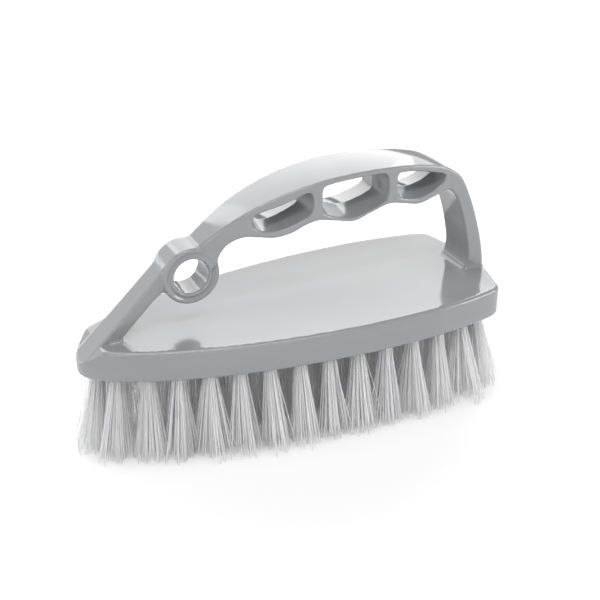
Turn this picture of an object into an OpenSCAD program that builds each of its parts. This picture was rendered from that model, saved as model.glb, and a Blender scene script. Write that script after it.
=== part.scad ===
// Hand scrub brush shaped like a flat iron: a moulded block with a bridge
// handle, and tufts of bristle held in drilled holes by wire anchors.
// Nose towards -X, heel towards +X, standing on its bristle tips at Z = 0.

/* [Block] */
// Thickness of the block
block_h = 11; // [10:0.5:14]
// Radius of the rounded upper edge
top_r = 1.5; // [1:0.25:2.5]
// Radius of the rounded lower edge
foot_r = 1.25; // [1:0.25:2]

/* [Bristles] */
// Bristle length below the block
bristle_l = 30; // [24:1:34]
// Radius of a drilled tuft hole
hole_r = 2.3; // [2:0.1:2.4]
// Depth of a drilled tuft hole
hole_d = 7; // [7:0.5:8.5]
// Radius of a tuft of the outer ring at its tips
outer_tip_r = 4.5; // [3.5:0.1:4.6]
// Radius of a tuft inside the ring at its tips
inner_tip_r = 4.1; // [3.4:0.1:4.1]
// Outward lean of the outer ring of tufts, in degrees
outer_lean = 9; // [6:0.5:10]

/* [Wire anchors] */
// Width of the flat anchor wire
anchor_w = 2; // [1.5:0.1:2.4]
// Thickness of the flat anchor wire
anchor_t = 0.4; // [0.3:0.05:0.6]

/* [Handle] */
// Outer radius of the hanging ring
ring_r = 9.8; // [9:0.1:10.2]
// Radius of the hanging hole
hang_r = 6; // [4.5:0.1:6.5]
// Width of the hanging ring
ring_w = 11; // [10.5:0.1:12]
// Width of the front strut at its foot
strut_w = 9.6; // [8:0.2:10]
// Widest part of the grip
grip_w = 20; // [17:0.5:20]
// Width of the rear leg
leg_w = 15.4; // [14:0.2:16]

/* [Hidden] */
$fn = 48;

deck = bristle_l + block_h;      // height of the flat top of the block
ring_x = -36.9;                  // centre of the hanging ring
ring_z = deck + 18.1;

// ---- smooth curves through or along hand-set points ----
function bez(P, t) = P[0]*pow(1-t,3) + 3*P[1]*t*pow(1-t,2) + 3*P[2]*t*t*(1-t) + P[3]*pow(t,3);
function bez_d(P, t) = 3*(P[1]-P[0])*pow(1-t,2) + 6*(P[2]-P[1])*t*(1-t) + 3*(P[3]-P[2])*t*t;
function unit2(v) = v / norm(v);
function cr(a, b, c, d, t) = 0.5*(2*b + (c-a)*t + (2*a-5*b+4*c-d)*t*t + (3*b-a-3*c+d)*t*t*t);
function open_curve(P, n) = [for (i = [0:len(P)-2]) for (k = [0:n-1])
    cr(P[max(i-1,0)], P[i], P[i+1], P[min(i+2,len(P)-1)], k/n), P[len(P)-1]];
function loop_curve(P, n) = [for (i = [0:len(P)-1]) for (k = [0:n-1])
    cr(P[(i+len(P)-1)%len(P)], P[i], P[(i+1)%len(P)], P[(i+2)%len(P)], k/n)];
function lift(P) = [for (p = P) [p[0], p[1] + deck]];

// half outline of the block, from the nose round to the heel
EDGE = [
  [[-75.5,0], [-75.5,4.2], [-73,7.4], [-67.5,10.6]],
  [[-67.5,10.6], [-47.5,21.6], [-11,30.5], [29,30.5]],
  [[29,30.5], [43,30.5], [54,29.3], [64,27.2]],
  [[64,27.2], [68.6,26.2], [71,25.2], [71.5,21.8]],
  [[71.5,21.8], [72.5,16.5], [75.3,9], [75.3,0]]];
STEPS = [6, 14, 6, 5, 5];
function edge_pt(i, t, d) = let (n = unit2(bez_d(EDGE[i], t))) bez(EDGE[i], t) + d*[n[1], -n[0]];
function half_edge(d) = [for (i = [0:4]) for (k = [0:STEPS[i]-1]) edge_pt(i, k/STEPS[i], d)];
function outline(d) = concat(half_edge(d), [[75.3-d, 0]],
    [for (i = [4:-1:0]) for (k = [STEPS[i]-1:-1:(i==0 ? 1 : 0)]) let (p = edge_pt(i, k/STEPS[i], d)) [p[0], -p[1]]]);

// solid block with rounded upper and lower edges, built ring by ring upwards
RINGS = concat(
  [for (a = [90:-30:0]) [bristle_l + foot_r*(1 - sin(a)), foot_r*(1 - cos(a))]],
  [for (a = [0:30:90]) [deck - top_r*(1 - sin(a)), top_r*(1 - cos(a))]]);
module block() {
  n = len(outline(0));
  m = len(RINGS);
  pts = [for (r = RINGS) for (p = outline(r[1])) [p[0], p[1], r[0]]];
  walls = [for (j = [0:m-2]) for (i = [0:n-1]) [j*n+i, j*n+(i+1)%n, (j+1)*n+(i+1)%n, (j+1)*n+i]];
  polyhedron(points = pts, faces = concat([[for (i = [n-1:-1:0]) i]], walls, [[for (i = [0:n-1]) (m-1)*n+i]]));
}

// ---- handle, drawn in side view as [x, height above the deck] ----
// upper line of the grip from the ring over the top and down the rear leg
TOP = [[-37,26], [-33,28.6], [-27,32.7], [-20,36.8], [-12,40.2], [-3,43], [7,45], [17,45.8],
  [27,45.9], [37,45.3], [46,44], [54,42], [59.5,39.3], [63.5,35.8], [67.3,28.4], [70.5,19.8],
  [73.1,10.8], [74.6,2.8], [74.7,-3]];
// inner line of the leg and the finger waves, from the heel back to the ring
UNDER = [[66,-3], [66,0.2], [67.7,2.5], [68,6], [67,12], [65.4,18.5], [63.3,24.6], [61,29.6], [57.6,32.2],
  [52,30.9], [45.5,29.7], [39,31.2], [33.5,32.2], [27,30.6], [20,28.6], [13,30], [7,31.2],
  [2,30.2], [-3,28.2], [-8.5,27.5], [-14,28.4], [-19,29.2], [-24,27.7], [-27,24.5], [-29,20], [-34,17]];
// finger windows
WINDOW_1 = [[-16.6,34], [-15.8,36.3], [-13.8,37.2], [-6.5,38.8], [0.6,41], [2.5,41.5], [4.2,40.8],
  [4.9,38.3], [4.7,35], [3,33.1], [-2,31], [-7.5,29.6], [-12.5,30.1], [-15.6,31.6]];
WINDOW_2 = [[8.1,37.5], [8.2,41.6], [9.8,43], [16,43.6], [23,43.8], [30,43.6], [32.2,42.6], [33.1,39.5],
  [33,35.5], [31.8,33.3], [27,31.3], [20,29.9], [14,31], [9.5,32.9], [8.2,34.5]];
WINDOW_3 = [[36.4,38], [36.5,41.5], [38,42.7], [44,42], [52,40.1], [55.5,38.9], [56.8,37.4],
  [55.6,35.2], [51.5,32.9], [45.5,31.7], [40,32.7], [37.1,34.3]];
// strut: outer line up from the nose, left a little full for the bevel, then back down its inner line
STRUT = [[-74,-9], [-74,-4], [-46,22.9], [-42,24],
  [-38,16], [-44,14.6], [-47.6,13.4], [-51.3,10.2], [-58,3.6], [-60.5,1.4], [-62.5,0.2], [-63.5,-1], [-66,-9]];
// everything outside the strut's flat outer face, which runs on as a bevel across the nose
BEVEL = [[-84,-14.6], [-44,23.8], [-84,23.8]];
// half width of the grip and the leg seen from above, as [x, share of the full half width]
function half_w(x) = x < -33 ? 5
  : x < 18 ? 5 + (grip_w/2 - 5)*pow(sin(90*(x+33)/51), 0.8)
  : x < 58 ? leg_w/2 + (grip_w - leg_w)/2*pow(cos(90*(x-18)/40), 0.8)
  : leg_w/2;
PLAN = concat([for (x = [-40:4:80]) [x, half_w(x)]], [for (x = [80:-4:-40]) [x, -half_w(x)]]);

module side(P, w) translate([0, w/2, 0]) rotate([90, 0, 0]) linear_extrude(height = w) polygon(P);
module through(P) side(lift(loop_curve(P, 4)), grip_w + 10);

// grip and leg in one curved band, narrower at the ring and at the heel
module grip() intersection() {
  side(lift(concat(open_curve(TOP, 4), open_curve(UNDER, 3))), grip_w + 2);
  translate([0, 0, bristle_l + 2]) linear_extrude(height = 80) polygon(PLAN);
}
// straight strut from the nose up to the ring, tapering a little upwards
module strut() intersection() {
  side(lift(STRUT), strut_w + 2);
  translate([0, 0, bristle_l + 1]) linear_extrude(height = 60)
    polygon([[-80, -strut_w/2], [-68, -strut_w/2], [-36, -strut_w/2+0.7], [-36, strut_w/2-0.7], [-68, strut_w/2], [-80, strut_w/2]]);
}
// block and strut, cut by one flat face up the front
module nose() difference() {
  union() { block(); strut(); }
  side(lift(BEVEL), 60);
}
module ring() translate([ring_x, ring_w/2, ring_z]) rotate([90, 0, 0]) cylinder(h = ring_w, r = ring_r, $fn = 72);
module hang_hole() translate([ring_x, 15, ring_z]) rotate([90, 0, 0]) cylinder(h = 30, r = hang_r, $fn = 72);

// ---- tuft places on the block's underside: [x, y, lean direction, lean] ----
NOSE = [[-69, 0]];
SIDE_ROW = [[-64.5,6.2], [-55.1,10.4], [-46,13.8], [-36.3,16.8], [-26.7,19.1], [-16.9,21], [-6.5,22.5],
  [4,23.6], [14.5,24.3], [25,24.6], [35.5,24.5], [46,23.7], [56.3,21.8], [65.2,17.8]];
HEEL = [[68.8,-8.8], [69.3,0], [68.8,8.8]];
INNER_ROW = [[-41,6], [-31,8.4], [-21,10.4], [-10.8,12], [-0.4,13.2], [10,13.8], [20.4,14.2],
  [30.8,14.2], [41.2,13.6], [51.2,12], [60,9.6]];
CENTRE = [[-59,0], [-49.5,0], [-28.6,0], [-18.4,0], [-8,0], [2.4,0], [12.8,0], [23.2,0], [33.6,0],
  [44,0], [54.4,0]];
function flip(P) = [for (p = P) [p[0], -p[1]]];

// outward direction of the nearest edge, a smooth rule from heel to nose
function away(p) = atan2(p[1]*1.6, p[0] > 40 ? (p[0]-40)*0.9 : (p[0] < -20 ? (p[0]+20)*0.35 : 0));

module tuft(p, tip_r, lean) {
  a = away(p);
  difference() {
    union() {
      translate([p[0], p[1], bristle_l - 1.2]) cylinder(h = hole_d + 1.2, r = hole_r);
      translate([p[0], p[1], bristle_l - 0.1]) rotate([0, 0, a]) rotate([0, 180 - lean, 0])
        cylinder(h = bristle_l + 3, r1 = hole_r - 0.1, r2 = tip_r*1.05);
    }
    translate([p[0]-20, p[1]-20, -20]) cube([40, 40, 20]);
    wire(p);
  }
}
module wire(p) translate([p[0] - hole_r*0.98, p[1] - anchor_t/2, bristle_l + hole_d - 0.9 - anchor_w])
  cube([hole_r*1.96, anchor_t, anchor_w]);
module tufts(P, tip_r, lean) color([0.80, 0.80, 0.81]) for (p = P) tuft(p, tip_r, lean);
module wires(P) color([0.72, 0.71, 0.68]) for (p = P) wire(p);
module drill(P) for (p = P) translate([p[0], p[1], bristle_l - 1]) cylinder(h = hole_d + 1, r = hole_r);

module brush_body() color([0.74, 0.75, 0.76]) difference() {
  union() { nose(); grip(); ring(); }
  hang_hole();
  through(WINDOW_1);
  through(WINDOW_2);
  through(WINDOW_3);
  drill(NOSE); drill(SIDE_ROW); drill(flip(SIDE_ROW)); drill(HEEL);
  drill(INNER_ROW); drill(flip(INNER_ROW)); drill(CENTRE);
}
module tufts_nose() tufts(NOSE, outer_tip_r, outer_lean);
module tufts_left_edge() tufts(SIDE_ROW, outer_tip_r, outer_lean);
module tufts_right_edge() tufts(flip(SIDE_ROW), outer_tip_r, outer_lean);
module tufts_heel() tufts(HEEL, outer_tip_r, outer_lean);
module tufts_left_inner() tufts(INNER_ROW, inner_tip_r, 3);
module tufts_right_inner() tufts(flip(INNER_ROW), inner_tip_r, 3);
module tufts_centre() tufts(CENTRE, inner_tip_r, 0);
module anchors_nose() wires(NOSE);
module anchors_left_edge() wires(SIDE_ROW);
module anchors_right_edge() wires(flip(SIDE_ROW));
module anchors_heel() wires(HEEL);
module anchors_left_inner() wires(INNER_ROW);
module anchors_right_inner() wires(flip(INNER_ROW));
module anchors_centre() wires(CENTRE);

brush_body();
tufts_nose();
tufts_left_edge();
tufts_right_edge();
tufts_heel();
tufts_left_inner();
tufts_right_inner();
tufts_centre();
anchors_nose();
anchors_left_edge();
anchors_right_edge();
anchors_heel();
anchors_left_inner();
anchors_right_inner();
anchors_centre();
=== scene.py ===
import math

import bpy
import numpy as np
from mathutils import Matrix, Vector


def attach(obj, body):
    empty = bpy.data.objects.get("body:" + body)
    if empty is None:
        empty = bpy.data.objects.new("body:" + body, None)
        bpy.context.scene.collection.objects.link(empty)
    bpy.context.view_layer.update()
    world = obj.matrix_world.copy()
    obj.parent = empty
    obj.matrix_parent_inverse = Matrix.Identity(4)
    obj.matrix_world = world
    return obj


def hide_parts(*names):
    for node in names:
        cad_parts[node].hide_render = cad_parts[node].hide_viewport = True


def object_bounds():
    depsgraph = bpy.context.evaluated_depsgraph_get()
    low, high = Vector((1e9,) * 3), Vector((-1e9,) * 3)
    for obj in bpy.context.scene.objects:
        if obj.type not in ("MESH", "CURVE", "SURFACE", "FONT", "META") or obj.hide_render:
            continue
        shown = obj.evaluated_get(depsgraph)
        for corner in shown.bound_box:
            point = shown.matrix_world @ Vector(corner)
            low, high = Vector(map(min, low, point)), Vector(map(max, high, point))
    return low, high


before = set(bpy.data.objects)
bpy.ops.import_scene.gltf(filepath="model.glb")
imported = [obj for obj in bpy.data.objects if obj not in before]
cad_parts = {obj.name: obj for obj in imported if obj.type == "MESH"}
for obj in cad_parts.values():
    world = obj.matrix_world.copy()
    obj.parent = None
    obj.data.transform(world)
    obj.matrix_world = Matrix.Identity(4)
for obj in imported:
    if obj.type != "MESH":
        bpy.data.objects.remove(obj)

cad_lo, cad_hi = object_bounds()

# Lengths below are in millimetres in the row frame; meshes are written in metres.
MM = 0.001
DECK = 41.0          # height of the flat top of the block
FOOT = 30.0          # underside of the block
RING_X, RING_Z, RING_R, RING_HALF, HANG_R = -36.9, DECK + 18.1, 9.8, 5.5, 6.0
HOLE_R, HOLE_TOP = 2.3, 37.0


# ---------------------------------------------------------------- camera
cam_data = bpy.data.cameras.new("camera")
cam = bpy.data.objects.new("camera", cam_data)
bpy.context.scene.collection.objects.link(cam)
bpy.context.scene.camera = cam
cam_data.lens = 72.17
cam_data.sensor_width = 36.0
right = Vector((0.89879, -0.43835, 0.00499)).normalized()
up = Vector((0.20230, 0.42482, 0.88238))
up = (up - up.dot(right) * right).normalized()
back = right.cross(up)
cam.matrix_world = Matrix.Translation(Vector((-157.86, -330.80, 235.11)) * MM) @ Matrix((right, up, back)).transposed().to_4x4()
cam_data.clip_start, cam_data.clip_end = 0.01, 20.0


# ---------------------------------------------------------------- curves
def cubic(P, n):
    """Points along one cubic Bezier piece."""
    t = np.linspace(0, 1, n, endpoint=False)[:, None]
    P = np.array(P, float)
    return P[0]*(1-t)**3 + 3*P[1]*t*(1-t)**2 + 3*P[2]*t*t*(1-t) + P[3]*t**3


def smooth(P, n, closed):
    """Catmull-Rom curve through the given points."""
    P = np.array(P, float)
    m = len(P)
    out = []
    t = np.linspace(0, 1, n, endpoint=False)[:, None]
    for i in range(m if closed else m - 1):
        a, b, c, d = (P[(i+k) % m] if closed else P[min(max(i+k, 0), m-1)] for k in (-1, 0, 1, 2))
        out.append(0.5*(2*b + (c-a)*t + (2*a-5*b+4*c-d)*t*t + (3*b-a-3*c+d)*t**3))
    if not closed:
        out.append(P[-1:])
    return np.vstack(out)


EDGE = [[(-75.5, 0), (-75.5, 4.2), (-73, 7.4), (-67.5, 10.6)],
        [(-67.5, 10.6), (-47.5, 21.6), (-11, 30.5), (29, 30.5)],
        [(29, 30.5), (43, 30.5), (54, 29.3), (64, 27.2)],
        [(64, 27.2), (68.6, 26.2), (71, 25.2), (71.5, 21.8)],
        [(71.5, 21.8), (72.5, 16.5), (75.3, 9), (75.3, 0)]]
half = np.vstack([cubic(p, n) for p, n in zip(EDGE, (40, 90, 40, 30, 30))] + [np.array([(75.3, 0.0)])])
OUTLINE = np.vstack([half, half[-2:0:-1]*[1, -1]])

STRUT_OUT = [(-80, -10.75), (-75.5, -6.43), (-68.8, 0), (-63, 5.57), (-57, 11.33), (-51, 17.09), (-46.5, 21.4), (-42, 25)]
TOP = [(-37, 26), (-33, 28.6), (-27, 32.7), (-20, 36.8), (-12, 40.2), (-3, 43), (7, 45), (17, 45.8),
       (27, 45.9), (37, 45.3), (46, 44), (54, 42), (59.5, 39.3), (63.5, 35.8), (67.3, 28.4), (70.5, 19.8),
       (73.1, 10.8), (74.6, 2.8), (74.7, -3)]
UNDER = [(67.7, 2.5), (68, 6), (67, 12), (65.4, 18.5), (63.3, 24.6), (61, 29.6), (57.6, 32.2),
         (52, 30.9), (45.5, 29.7), (39, 31.2), (33.5, 32.2), (27, 30.6), (20, 28.6), (13, 30), (7, 31.2),
         (2, 30.2), (-3, 28.2), (-8.5, 27.5), (-14, 28.4), (-19, 29.2), (-24, 27.7), (-27, 24.5), (-29, 20), (-34, 17)]
STRUT_IN = [(-40, 16), (-44, 14.6), (-47.6, 13.2), (-51.3, 10.2), (-58, 3.6), (-61.4, 0.4)]
WINDOWS = [
    [(-16.6, 34), (-15.8, 36.3), (-13.8, 37.2), (-6.5, 38.8), (0.6, 41), (2.5, 41.5), (4.2, 40.8),
     (4.9, 38.3), (4.7, 35), (3, 33.1), (-2, 31), (-7.5, 29.6), (-12.5, 30.1), (-15.6, 31.6)],
    [(8.1, 37.5), (8.2, 41.6), (9.8, 43), (16, 43.6), (23, 43.8), (30, 43.6), (32.2, 42.6), (33.1, 39.5),
     (33, 35.5), (31.8, 33.3), (27, 31.3), (20, 29.9), (14, 31), (9.5, 32.9), (8.2, 34.5)],
    [(36.4, 38), (36.5, 41.5), (38, 42.7), (44, 42), (52, 40.1), (55.5, 38.9), (56.8, 37.4),
     (55.6, 35.2), (51.5, 32.9), (45.5, 31.7), (40, 32.7), (37.1, 34.3)]]
NOSE = [(-69.0, 0.0)]
SIDE_ROW = [(-64.5, 6.2), (-55.1, 10.4), (-46, 13.8), (-36.3, 16.8), (-26.7, 19.1), (-16.9, 21), (-6.5, 22.5),
            (4, 23.6), (14.5, 24.3), (25, 24.6), (35.5, 24.5), (46, 23.7), (56.3, 21.8), (65.2, 17.8)]
HEEL = [(68.8, -8.8), (69.3, 0.0), (68.8, 8.8)]
INNER_ROW = [(-41, 6), (-31, 8.4), (-21, 10.4), (-10.8, 12), (-0.4, 13.2), (10, 13.8), (20.4, 14.2),
             (30.8, 14.2), (41.2, 13.6), (51.2, 12), (60, 9.6)]
CENTRE = [(-59, 0.0), (-49.5, 0.0), (-28.6, 0.0), (-18.4, 0.0), (-8, 0.0), (2.4, 0.0), (12.8, 0.0), (23.2, 0.0),
          (33.6, 0.0), (44, 0.0), (54.4, 0.0)]


def flip(P):
    return [(x, -y) for x, y in P]


ALL_TUFTS = NOSE + SIDE_ROW + flip(SIDE_ROW) + HEEL + INNER_ROW + flip(INNER_ROW) + CENTRE


# ---------------------------------------------------------------- signed distance in 2D
def loop_distance(P, loop):
    """Signed distance from points P (n,2) to a closed loop, negative inside."""
    a = loop
    b = np.roll(loop, -1, axis=0)
    out = np.empty(len(P), np.float64)
    for s in range(0, len(P), 4000):
        q = P[s:s+4000, None]
        ab = b - a
        t = np.clip(((q - a)*ab).sum(-1)/np.maximum((ab**2).sum(-1), 1e-12), 0, 1)
        d2 = ((q - a - t[..., None]*ab)**2).sum(-1)
        cross = ((a[:, 1] > q[..., 1]) != (b[:, 1] > q[..., 1])) & (
            q[..., 0] < ab[:, 0]*(q[..., 1] - a[:, 1])/np.where(np.abs(ab[:, 1]) < 1e-12, 1e-12, ab[:, 1]) + a[:, 0])
        inside = cross.sum(-1) % 2 == 1
        d = np.sqrt(d2.min(-1))
        out[s:s+4000] = np.where(inside, -d, d)
    return out


class Table:
    """A signed distance held on a fine 2D grid and read back with smooth cubic weights."""

    def __init__(self, loop, lo, hi, step, soften):
        self.lo, self.step = np.array(lo, float), step
        n = np.ceil((np.array(hi) - lo)/step).astype(int) + 1
        gu, gv = lo[0] + step*np.arange(n[0]), lo[1] + step*np.arange(n[1])
        # a coarse pass finds where the curve is; only points near it get the exact distance
        cu, cv = np.append(gu[::8], gu[-1] + 8*step), np.append(gv[::8], gv[-1] + 8*step)
        u, v = np.meshgrid(cu, cv, indexing="ij")
        c = loop_distance(np.stack([u.ravel(), v.ravel()], -1), loop).reshape(u.shape)
        rows = np.array([np.interp(gv, cv, q) for q in c])
        d = np.array([np.interp(gu, cu, q) for q in rows.T]).T
        near = np.abs(d) < 6
        i, j = np.nonzero(near)
        d[near] = loop_distance(np.stack([gu[i], gv[j]], -1), loop)
        for _ in range(soften):
            p = np.pad(d, 1, mode="edge")
            d = (p[:-2, 1:-1] + 2*p[1:-1, 1:-1] + p[2:, 1:-1])/4
            p = np.pad(d, 1, mode="edge")
            d = (p[1:-1, :-2] + 2*p[1:-1, 1:-1] + p[1:-1, 2:])/4
        self.d, self.n = d, n

    def __call__(self, u, v):
        fu = np.clip((u - self.lo[0])/self.step, 1.001, self.n[0] - 3.001)
        fv = np.clip((v - self.lo[1])/self.step, 1.001, self.n[1] - 3.001)
        iu, iv = fu.astype(int), fv.astype(int)
        tu, tv = fu - iu, fv - iv

        def weights(t):
            return (((-t + 2)*t - 1)*t/2, ((3*t - 5)*t*t + 2)/2, ((-3*t + 4)*t + 1)*t/2, (t - 1)*t*t/2)
        wu, wv = weights(tu), weights(tv)
        out = 0.0
        for i in range(4):
            row = 0.0
            for j in range(4):
                row = row + wv[j]*self.d[iu + i - 1, iv + j - 1]
            out = out + wu[i]*row
        return out


def lifted(P):
    return np.array(P, float) + [0, DECK]


outer = np.vstack([smooth(lifted(STRUT_OUT), 14, False), smooth(lifted(TOP), 14, False)])
inner = np.vstack([lifted([(-63.4, -6), (64, -6), (66.5, -3)]), smooth(lifted(UNDER), 14, False), smooth(lifted(STRUT_IN), 14, False)])
T_OUTER = Table(outer, (-79, 28), (79, 92), 0.3, 2)
T_INNER = Table(inner, (-79, 28), (79, 92), 0.3, 2)
T_EDGE = Table(OUTLINE, (-79, -34), (79, 34), 0.3, 1)
T_WIN = []
for w in WINDOWS:
    loop = smooth(lifted(w), 12, True)
    T_WIN.append(Table(loop, loop.min(0) - 4, loop.max(0) + 4, 0.2, 2))


def round_and(a, b, r):
    """Intersection with a rounded edge of radius r."""
    return np.minimum(-r, np.maximum(a, b)) + np.hypot(np.maximum(a + r, 0), np.maximum(b + r, 0))


def round_or(a, b, r):
    """Union with a fillet of radius r in the corner."""
    return np.maximum(r, np.minimum(a, b)) - np.hypot(np.maximum(r - a, 0), np.maximum(r - b, 0))


def half_width(x):
    """Half width of strut, grip and leg seen from above."""
    strut = 4.7 - 0.65*np.clip((x + 68)/32, 0, 1)
    front = 4.9 + 5.0*np.sin(np.radians(90*np.clip((x + 33)/51, 0, 1)))**0.8
    rear = 7.6 + 2.3*np.cos(np.radians(90*np.clip((x - 18)/40, 0, 1)))**0.8
    grip = np.where(x < 18, front, rear)
    k = np.clip((x + 41)/6, 0, 1)
    k = k*k*(3 - 2*k)
    return strut + (grip - strut)*k


def body_distance(x, y, z, holes=True):
    ay = np.abs(y)
    hw = half_width(x)
    # block: outline with a rounded top edge and a slightly smaller round below
    e = T_EDGE(x, y)
    # the deck is very slightly dished, rising towards its edges
    dish = 0.75*(1 - np.exp(np.minimum(e, 0)/7.5))
    block = np.maximum(round_and(e, z - DECK + dish, 1.4), round_and(e, FOOT - z, 1.2))
    # the strut's outer face runs on as a bevel across the nose
    bevel = ((z - DECK) - 0.96*(x + 68.8))/math.hypot(1, 0.96)
    block = np.where(x < -60, round_and(block, bevel, 0.45), block)
    # handle: side view times width, crowned along the top
    crown = 0.3*np.minimum(ay/9.0, 1.2)**2
    upper = T_OUTER(x, z + crown*np.clip((x + 40)/15, 0, 1))
    band = round_and(upper, ay - hw, np.where(x < -44, 0.5, 0.7))
    opening = T_INNER(x, z)
    side = ay - hw
    # the opening's edges are rounded where it leaves the sides
    cut = -opening
    band = np.maximum(band, round_and(cut, side, 0.65))
    for t in T_WIN:
        # drafted from both sides, which leaves a ridge round each window at the parting plane
        w = t(x, z) - 0.17*ay + 1.6
        band = np.maximum(band, round_and(-w, side, 0.55))
    # hanging ring, proud of strut and grip
    rr = np.hypot(x - RING_X, z - RING_Z)
    bore = HANG_R + 0.02*ay - rr
    # a shallow groove runs round each face of the ring
    face = ay - RING_HALF + 0.5*np.exp(-((rr - 7.75)/0.62)**2)
    ring = round_and(rr - RING_R, face, 1.0)
    ring = np.maximum(ring, round_and(bore, face, 0.7))
    band = np.maximum(round_or(band, ring, 0.9), bore)
    # below the deck the handle stays just inside the block
    band = np.where(z < DECK, np.maximum(band, e + 0.15), band)
    body = round_or(block, band, np.where(x < -66, 0.35, 1.6))
    if holes:
        h = np.full(np.shape(x), 1e3)
        low = z < HOLE_TOP + 2
        if np.any(low):
            xs, ys, zs = x[low], y[low], z[low]
            d = np.full(len(xs), 1e3)
            for cx, cy in ALL_TUFTS:
                d = np.minimum(d, np.hypot(xs - cx, ys - cy))
            h[low] = np.maximum(HOLE_R - d, zs - HOLE_TOP)*-1
            deep = np.maximum(d - HOLE_R, zs - HOLE_TOP)
            h[low] = deep
        body = np.maximum(body, np.where(low, -h, -1e3))
    return body


def grid_axis(marks):
    """Grid lines from [(from, to, step), ...]."""
    out = []
    for a, b, s in marks:
        n = max(1, int(round((b - a)/s)))
        out.append(np.linspace(a, b, n, endpoint=False))
    out.append(np.array([marks[-1][1]], float))
    return np.concatenate(out)


def surface_net(f, X, Y, Z):
    """Quad mesh of f = 0 on a rectilinear grid, its points moved onto the surface."""
    F = np.empty((len(X), len(Y), len(Z)), np.float32)
    for j in range(len(Y)):
        gx, gz = np.meshgrid(X, Z, indexing="ij")
        F[:, j, :] = f(gx.ravel(), np.full(gx.size, Y[j]), gz.ravel()).reshape(gx.shape)
    S = F < 0
    shape = (len(X) - 1, len(Y) - 1, len(Z) - 1)
    c = [S[i:i+shape[0], j:j+shape[1], k:k+shape[2]] for i in (0, 1) for j in (0, 1) for k in (0, 1)]
    total = sum(k.astype(np.int8) for k in c)
    ci, cj, ck = np.nonzero((total > 0) & (total < 8))
    index = np.full(shape, -1, np.int64)
    index[ci, cj, ck] = np.arange(len(ci))
    corner = {(i, j, k): F[ci+i, cj+j, ck+k].astype(float) for i in (0, 1) for j in (0, 1) for k in (0, 1)}
    acc, cnt = np.zeros((len(ci), 3)), np.zeros(len(ci))
    lo = np.stack([X[ci], Y[cj], Z[ck]], -1)
    hi = np.stack([X[ci+1], Y[cj+1], Z[ck+1]], -1)
    for axis in range(3):
        for u in (0, 1):
            for v in (0, 1):
                a = [0, 0, 0]
                others = [k for k in range(3) if k != axis]
                a[others[0]], a[others[1]] = u, v
                b = list(a)
                b[axis] = 1
                fa, fb = corner[tuple(a)], corner[tuple(b)]
                m = (fa < 0) != (fb < 0)
                t = np.where(m, fa/np.where(m, fa - fb, 1), 0)
                p = np.where(np.array(a), hi, lo).astype(float)
                p[:, axis] = lo[:, axis] + t*(hi[:, axis] - lo[:, axis])
                acc[m] += p[m]
                cnt[m] += 1
    P = acc/cnt[:, None]
    cell = (hi - lo)
    start = P.copy()
    for _ in range(5):
        d, g = with_gradient(f, P)
        step = -d[:, None]*g
        P = np.clip(P + step, np.maximum(lo - 0.25*cell, start - cell*0.6), np.minimum(hi + 0.25*cell, start + cell*0.6))
    _, g = with_gradient(f, P)
    quads = []
    for axis in range(3):
        n = list(F.shape)
        n[axis] -= 1
        s = [slice(None)]*3
        s[axis] = slice(0, n[axis])
        s2 = [slice(None)]*3
        s2[axis] = slice(1, n[axis] + 1)
        A, B = S[tuple(s)], S[tuple(s2)]
        i, j, k = np.nonzero(A != B)
        flipq = A[i, j, k]
        pos = [i, j, k]
        o = [q for q in range(3) if q != axis]
        ok = np.ones(len(i), bool)
        for q in o:
            ok &= (pos[q] > 0) & (pos[q] < shape[q])
        pos = [q[ok] for q in pos]
        flipq = flipq[ok]
        ring = []
        for du, dv in ((1, 1), (0, 1), (0, 0), (1, 0)):
            q = list(pos)
            q[o[0]] = pos[o[0]] - du
            q[o[1]] = pos[o[1]] - dv
            ring.append(index[tuple(q)])
        quad = np.stack(ring, -1)
        if axis == 1:
            flipq = ~flipq
        quad[~flipq] = quad[~flipq][:, ::-1]
        quads.append(quad)
    return P, np.vstack(quads), g


def with_gradient(f, P, h=0.04):
    x, y, z = P.T
    d = f(x, y, z)
    g = np.stack([f(x+h, y, z) - f(x-h, y, z), f(x, y+h, z) - f(x, y-h, z), f(x, y, z+h) - f(x, y, z-h)], -1)/(2*h)
    n = np.linalg.norm(g, axis=1, keepdims=True)
    return d/np.maximum(n[:, 0], 0.3), g/np.maximum(n, 1e-9)


def mesh_object(name, verts, faces, normals=None):
    """A mesh object from arrays, in metres."""
    me = bpy.data.meshes.new(name)
    verts = np.asarray(verts, np.float64)*MM
    faces = np.asarray(faces)
    me.vertices.add(len(verts))
    me.vertices.foreach_set("co", verts.ravel())
    me.loops.add(faces.size)
    me.loops.foreach_set("vertex_index", faces.ravel().astype(np.int32))
    me.polygons.add(len(faces))
    k = faces.shape[1]
    me.polygons.foreach_set("loop_start", (np.arange(len(faces))*k).astype(np.int32))
    me.polygons.foreach_set("use_smooth", np.ones(len(faces), bool))
    me.update(calc_edges=True)
    me.validate()
    if normals is not None:
        me.normals_split_custom_set_from_vertices([tuple(n) for n in normals])
    ob = bpy.data.objects.new(name, me)
    bpy.context.scene.collection.objects.link(ob)
    return ob


gx = grid_axis([(-78, 78, 0.70)])
side_lines = grid_axis([(0, 11, 0.48), (11, 33, 0.95)])
gy = np.concatenate([-side_lines[:0:-1], side_lines]) + 0.013
gz = grid_axis([(28.6, 33.1, 0.62), (33.1, 36.6, 1.1), (36.6, 43, 0.56), (43, 89, 0.58)])
P, Q, N = surface_net(body_distance, gx, gy, gz)
print("body", len(P), "points", len(Q), "quads")
body = mesh_object("moulded_body", P, Q, N)
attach(body, "root")
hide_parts("brush_body")


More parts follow.
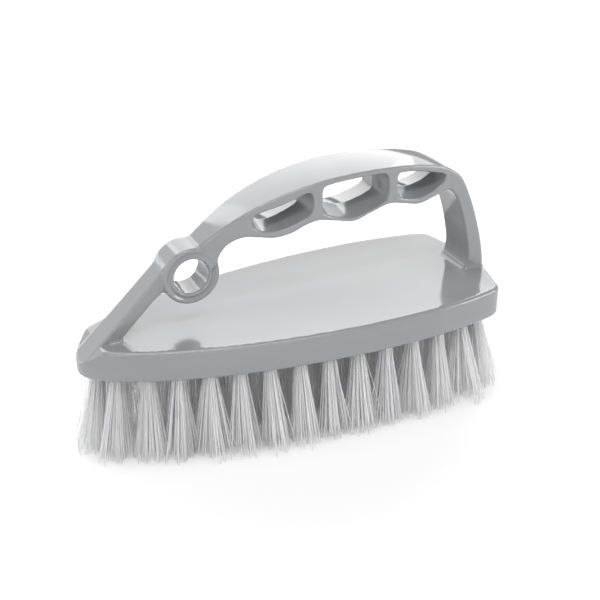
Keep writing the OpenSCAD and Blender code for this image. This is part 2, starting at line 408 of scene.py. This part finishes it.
# ---------------------------------------------------------------- bristles
TIP_Z = 0.0
ROWS = {
    "tufts_nose": (NOSE, "outer"),
    "tufts_left_edge": (SIDE_ROW, "outer"),
    "tufts_right_edge": (flip(SIDE_ROW), "outer"),
    "tufts_heel": (HEEL, "outer"),
    "tufts_left_inner": (INNER_ROW, "inner"),
    "tufts_right_inner": (flip(INNER_ROW), "inner"),
    "tufts_centre": (CENTRE, "centre")}
KIND = {"outer": (8.0, 6.0, 64), "inner": (3.0, 4.3, 28), "centre": (0.0, 4.3, 22)}   # lean in degrees, radius at the tips, filaments


def away(x, y):
    """Direction in plan that a tuft leans towards."""
    along = (x - 40)*0.9 if x > 40 else ((x + 20)*0.35 if x < -20 else 0.0)
    return math.atan2(y*1.6, along)


def tuft(rng, cx, cy, kind, cuts=7):
    """Four-sided filaments of one tuft: packed in the hole, then fanning out nearly straight to ragged tips."""
    lean, tip_r, hairs = KIND[kind]
    a = away(cx, cy) if kind != "centre" else 0.0
    ux, uy = math.cos(a), math.sin(a)
    # places on a disc, evenly spread, then disturbed
    k = np.arange(hairs) + 0.5
    rad = np.clip(np.sqrt(k/hairs) + rng.normal(0, 0.05, hairs), 0, 1)
    ang = k*2.39996 + rng.uniform(0, 6.28)
    disc = np.stack([np.cos(ang)*rad, np.sin(ang)*rad], -1)
    root = disc*1.98
    # locks of neighbouring hairs stay together on the way down
    lock = rng.normal(0, 0.75, (9, 2))
    group = (np.floor(ang/6.2832*3).astype(int) % 3)*3 + np.minimum((rad*3).astype(int), 2)
    tip = disc*(tip_r - 0.2)*rng.uniform(0.86, 1.1, (hairs, 1)) + lock[group] + rng.normal(0, 0.28, (hairs, 2))
    wild = rng.random(hairs) < 0.12
    tip[wild] += rng.normal(0, 2.3, (wild.sum(), 2))
    shift = math.tan(math.radians(lean))*FOOT
    # hairs on the tuft's open side splay further
    outward = np.clip(disc @ np.array([ux, uy]), 0, 1)
    tip += np.array([ux, uy])*(shift*rng.uniform(0.8, 1.1, hairs) + (1.3 if lean > 5 else 0)*outward**2)[:, None]
    end_z = np.abs(rng.normal(0.2, 1.2, hairs)) + 0.1
    start_z = rng.uniform(33.5, 36, hairs)
    s = np.linspace(0, 1, cuts)[None, :, None]
    drop = (start_z - FOOT)[:, None, None]/(start_z - end_z)[:, None, None]
    f = np.clip((s - drop*0.8)/(1 - drop*0.8), 0, 1)
    bend = f**rng.uniform(0.95, 1.25, (hairs, 1, 1))
    bow = np.sin(np.pi*f)*rng.normal(0, 0.12, (hairs, 1, 2))
    xy = np.array([cx, cy]) + root[:, None]*(1 - bend) + tip[:, None]*bend + bow
    z = start_z[:, None] + (end_z - start_z)[:, None]*s[..., 0]
    line = np.concatenate([xy, z[..., None]], -1)
    r = rng.uniform(0.16, 0.215, (hairs, 1))*np.ones((1, cuts))
    r[:, -1] *= 0.7
    return line, r


def tubes(line, r, sides=4, twist=None):
    """Closed tubes around the given centre lines: points and quad and cap faces."""
    n, m, _ = line.shape
    t = np.gradient(line, axis=1)
    t /= np.linalg.norm(t, axis=2, keepdims=True)
    ref = np.array([0.0, 1.0, 0.0])
    u = np.cross(np.broadcast_to(ref, t.shape), t)
    u /= np.linalg.norm(u, axis=2, keepdims=True)
    v = np.cross(t, u)
    ph = (np.arange(sides)*2*np.pi/sides)[None, :] + (0 if twist is None else twist[:, None])
    c, s = np.cos(ph)[:, None, :, None], np.sin(ph)[:, None, :, None]
    ring = line[:, :, None] + (u[:, :, None]*c + v[:, :, None]*s)*r[:, :, None, None]
    P = ring.reshape(-1, 3)
    base = (np.arange(n)*m*sides)[:, None, None]
    i = np.arange(m - 1)[None, :, None]*sides
    j = np.arange(sides)[None, None, :]
    k = (j + 1) % sides
    q = np.stack([base + i + j, base + i + k, base + i + sides + k, base + i + sides + j], -1).reshape(-1, 4)
    cap0 = (np.arange(n)*m*sides)[:, None] + np.arange(sides)[::-1][None]
    cap1 = (np.arange(n)*m*sides + (m - 1)*sides)[:, None] + np.arange(sides)[None]
    return P, np.vstack([q, cap0, cap1])


rng = np.random.default_rng(7)
BRISTLES = []
for node, (row, kind) in ROWS.items():
    lines, radii = zip(*[tuft(rng, x, y, kind) for x, y in row])
    line, r = np.vstack(lines), np.vstack(radii)
    BP, BQ = tubes(line, r, 4, rng.uniform(0, 6.28, len(line)))
    BP[:, 0] = np.clip(BP[:, 0], cad_lo[0]*1000 + 0.02, cad_hi[0]*1000 - 0.02)
    BP[:, 1] = np.clip(BP[:, 1], cad_lo[1]*1000 + 0.02, cad_hi[1]*1000 - 0.02)
    BP[:, 2] = np.maximum(BP[:, 2], 0.02)
    ob = mesh_object("bristles" + node[5:], BP, BQ)
    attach(ob, "root")
    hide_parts(node)
    BRISTLES.append(ob)
    print(ob.name, len(BQ), "faces")


# ---------------------------------------------------------------- materials
def material(name):
    m = bpy.data.materials.new(name)
    m.use_nodes = True
    nt = m.node_tree
    return m, nt, nt.nodes["Principled BSDF"]


def add(nt, kind, **values):
    """A node with its plain values set; a key names an input, or an attribute with a leading underscore."""
    n = nt.nodes.new(kind)
    for k, v in values.items():
        if k.startswith("_"):
            setattr(n, k[1:], v)
        else:
            n.inputs[k.replace("_", " ")].default_value = v
    return n


def ramp(nt, stops):
    n = nt.nodes.new("ShaderNodeValToRGB")
    e = n.color_ramp.elements
    while len(e) < len(stops):
        e.new(0.5)
    for el, (p, c) in zip(e, stops):
        el.position, el.color = p, (*c, 1) if len(c) == 3 else c
    return n


def plastic():
    """Glossy light grey moulding: faint flow mottling, a slightly wavy skin, fine handling scuffs, and a painted
    highlight that makes convex edges paler, with those edges also a little rougher.
    """
    m, nt, b = material("moulded_plastic")
    L = nt.links.new
    tc = nt.nodes.new("ShaderNodeTexCoord")
    # flow mottling
    flow = nt.nodes.new("ShaderNodeMapping")
    flow.inputs["Scale"].default_value = (0.55, 1, 1.3)
    L(tc.outputs["Object"], flow.inputs["Vector"])
    n1 = add(nt, "ShaderNodeTexNoise", Scale=38.0, Detail=5.0, Roughness=0.55, Distortion=0.4)
    L(flow.outputs["Vector"], n1.inputs["Vector"])
    tone = ramp(nt, [(0.30, (0.228, 0.232, 0.238)), (0.70, (0.250, 0.254, 0.260))])
    L(n1.outputs["Fac"], tone.inputs["Fac"])
    # painted highlight on convex edges: a pointiness mask, broken up by fine noise, mixes in a paler grey
    geo = nt.nodes.new("ShaderNodeNewGeometry")
    edge = ramp(nt, [(0.515, (0, 0, 0)), (0.60, (1, 1, 1))])
    L(geo.outputs["Pointiness"], edge.inputs["Fac"])
    n2 = add(nt, "ShaderNodeTexNoise", Scale=210.0, Detail=6.0, Roughness=0.6)
    L(tc.outputs["Object"], n2.inputs["Vector"])
    edge_highlight_mask = add(nt, "ShaderNodeMath", _operation="MULTIPLY")
    L(edge.outputs["Color"], edge_highlight_mask.inputs[0])
    L(n2.outputs["Fac"], edge_highlight_mask.inputs[1])
    mix = add(nt, "ShaderNodeMix", _data_type="RGBA")
    # paler grey of the painted edge highlight
    mix.inputs[7].default_value = (0.33, 0.335, 0.34, 1)
    L(edge_highlight_mask.outputs[0], mix.inputs[0])
    L(tone.outputs["Color"], mix.inputs[6])
    L(mix.outputs[2], b.inputs["Base Color"])
    # gloss, with dull patches from handling
    n3 = add(nt, "ShaderNodeTexNoise", Scale=75.0, Detail=7.0, Roughness=0.62)
    L(tc.outputs["Object"], n3.inputs["Vector"])
    rough = add(nt, "ShaderNodeMapRange", From_Min=0.35, From_Max=0.75, To_Min=0.07, To_Max=0.14)
    L(n3.outputs["Fac"], rough.inputs["Value"])
    # the painted-highlight edge mask also raises the roughness on those edges
    edge_roughness = add(nt, "ShaderNodeMath", _operation="MULTIPLY_ADD")
    edge_roughness.inputs[1].default_value = 0.10
    L(edge_highlight_mask.outputs[0], edge_roughness.inputs[0])
    L(rough.outputs["Result"], edge_roughness.inputs[2])
    L(edge_roughness.outputs[0], b.inputs["Roughness"])
    # skin: slow sink-mark waves, then a fine texture
    slow = add(nt, "ShaderNodeTexNoise", Scale=26.0, Detail=1.0, Roughness=0.4)
    L(tc.outputs["Object"], slow.inputs["Vector"])
    fine = add(nt, "ShaderNodeTexNoise", Scale=900.0, Detail=3.0)
    L(tc.outputs["Object"], fine.inputs["Vector"])
    b1 = add(nt, "ShaderNodeBump", Strength=0.35, Distance=0.0016)
    L(slow.outputs["Fac"], b1.inputs["Height"])
    b2 = add(nt, "ShaderNodeBump", Strength=0.10, Distance=0.00008)
    L(fine.outputs["Fac"], b2.inputs["Height"])
    L(b1.outputs["Normal"], b2.inputs["Normal"])
    L(b2.outputs["Normal"], b.inputs["Normal"])
    b.inputs["IOR"].default_value = 1.62
    return m


def filament():
    """Translucent extruded filament: each hair its own shade, a little streaked along its length."""
    m, nt, b = material("bristle_filament")
    L = nt.links.new
    geo = nt.nodes.new("ShaderNodeNewGeometry")
    shade = ramp(nt, [(0.0, (0.93, 0.93, 0.935)), (0.25, (0.975, 0.975, 0.98)), (1.0, (0.99, 0.99, 0.99))])
    L(geo.outputs["Random Per Island"], shade.inputs["Fac"])
    tc = nt.nodes.new("ShaderNodeTexCoord")
    n1 = add(nt, "ShaderNodeTexNoise", Scale=420.0, Detail=3.0)
    L(tc.outputs["Object"], n1.inputs["Vector"])
    streak = add(nt, "ShaderNodeMapRange", To_Min=0.975, To_Max=1.0)
    L(n1.outputs["Fac"], streak.inputs["Value"])
    tint = add(nt, "ShaderNodeMix", _data_type="RGBA", _blend_type="MULTIPLY")
    tint.inputs[0].default_value = 1.0
    L(shade.outputs["Color"], tint.inputs[6])
    L(streak.outputs["Result"], tint.inputs[7])
    L(tint.outputs[2], b.inputs["Base Color"])
    rough = add(nt, "ShaderNodeMapRange", To_Min=0.22, To_Max=0.40)
    L(n1.outputs["Fac"], rough.inputs["Value"])
    L(rough.outputs["Result"], b.inputs["Roughness"])
    b.inputs["IOR"].default_value = 1.5
    bump = add(nt, "ShaderNodeBump", Strength=0.2, Distance=0.00004)
    L(n1.outputs["Fac"], bump.inputs["Height"])
    L(bump.outputs["Normal"], b.inputs["Normal"])
    tr = nt.nodes.new("ShaderNodeBsdfTranslucent")
    L(tint.outputs[2], tr.inputs["Color"])
    both = nt.nodes.new("ShaderNodeMixShader")
    both.inputs["Fac"].default_value = 0.74
    L(b.outputs["BSDF"], both.inputs[1])
    L(tr.outputs["BSDF"], both.inputs[2])
    L(both.outputs["Shader"], nt.nodes["Material Output"].inputs["Surface"])
    return m


def wire_metal():
    """Drawn steel wire: fine lengthways scratches and a dull oxide cast."""
    m, nt, b = material("anchor_wire")
    L = nt.links.new
    tc = nt.nodes.new("ShaderNodeTexCoord")
    mp = nt.nodes.new("ShaderNodeMapping")
    mp.inputs["Scale"].default_value = (60, 2400, 2400)
    L(tc.outputs["Object"], mp.inputs["Vector"])
    n1 = add(nt, "ShaderNodeTexNoise", Scale=1.0, Detail=4.0)
    L(mp.outputs["Vector"], n1.inputs["Vector"])
    tone = ramp(nt, [(0.3, (0.30, 0.29, 0.27)), (0.7, (0.48, 0.47, 0.45))])
    L(n1.outputs["Fac"], tone.inputs["Fac"])
    L(tone.outputs["Color"], b.inputs["Base Color"])
    rough = add(nt, "ShaderNodeMapRange", To_Min=0.25, To_Max=0.5)
    L(n1.outputs["Fac"], rough.inputs["Value"])
    L(rough.outputs["Result"], b.inputs["Roughness"])
    bump = add(nt, "ShaderNodeBump", Strength=0.3, Distance=0.00003)
    L(n1.outputs["Fac"], bump.inputs["Height"])
    L(bump.outputs["Normal"], b.inputs["Normal"])
    b.inputs["Metallic"].default_value = 1.0
    return m


body.data.materials.append(plastic())
hair = filament()
for ob in BRISTLES:
    ob.data.materials.append(hair)
wire = wire_metal()
for name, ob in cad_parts.items():
    if name.startswith("anchors_"):
        for k in range(len(ob.material_slots)):
            ob.material_slots[k].material = wire

# ---------------------------------------------------------------- stage and light
floor_mesh = bpy.data.meshes.new("floor")
floor_mesh.from_pydata([(-4, -4, 0), (4, -4, 0), (4, 4, 0), (-4, 4, 0)], [], [(0, 1, 2, 3)])
floor = bpy.data.objects.new("floor", floor_mesh)
bpy.context.scene.collection.objects.link(floor)
fm, fnt, fb = material("floor_white")
fn = add(fnt, "ShaderNodeTexNoise", Scale=6.0, Detail=2.0)
fr = ramp(fnt, [(0.3, (0.91, 0.91, 0.915)), (0.7, (0.93, 0.93, 0.93))])
fnt.links.new(fn.outputs["Fac"], fr.inputs["Fac"])
fnt.links.new(fr.outputs["Color"], fb.inputs["Base Color"])
fb.inputs["Roughness"].default_value = 0.85
floor.data.materials.append(fm)

world = bpy.data.worlds.new("studio")
bpy.context.scene.world = world
world.use_nodes = True
world.node_tree.nodes["Background"].inputs["Color"].default_value = (1, 1, 1, 1)
world.node_tree.nodes["Background"].inputs["Strength"].default_value = 0.35


def softbox(name, place, target, size, radiance):
    """A rectangular lamp that looks equally bright from anywhere in front."""
    d = bpy.data.lights.new(name, "AREA")
    d.shape = "RECTANGLE"
    d.size, d.size_y = size
    d.energy = radiance*math.pi*size[0]*size[1]
    o = bpy.data.objects.new(name, d)
    o.location = place
    o.rotation_euler = (Vector(target) - Vector(place)).to_track_quat("-Z", "Y").to_euler()
    o.visible_camera = False
    bpy.context.scene.collection.objects.link(o)


LIGHTS = [
    ("back", (0.25, 1.05, 0.66), (1.2, 0.9), 2.8),
    ("back_right", (0.94, 0.85, 0.66), (0.5, 0.9), 1.6),
    ("back_low", (-0.50, 1.05, 0.13), (0.9, 0.2), 3.0),
    ("glint", (-0.72, -0.74, 0.70), (0.3, 0.3), 5.0),
    ("front", (-0.35, -1.3, 0.25), (1.2, 0.4), 0.7),
    ("top", (-0.10, 0.05, 1.3), (0.6, 0.6), 3.0),
    ("left_back", (-0.56, 0.99, 0.55), (0.9, 0.7), 1.0),
    ("left", (-1.25, -0.25, 0.45), (0.8, 0.7), 2.6),
    ("right", (1.2, -0.75, 0.40), (0.8, 0.6), 6.3),
    ("rim", (-0.05, -0.58, 1.05), (0.9, 0.14), 11.0)]
for name, place, size, radiance in LIGHTS:
    softbox(name, place, (0, 0, 0.04), size, radiance)

bpy.context.scene.view_settings.view_transform = "Standard"
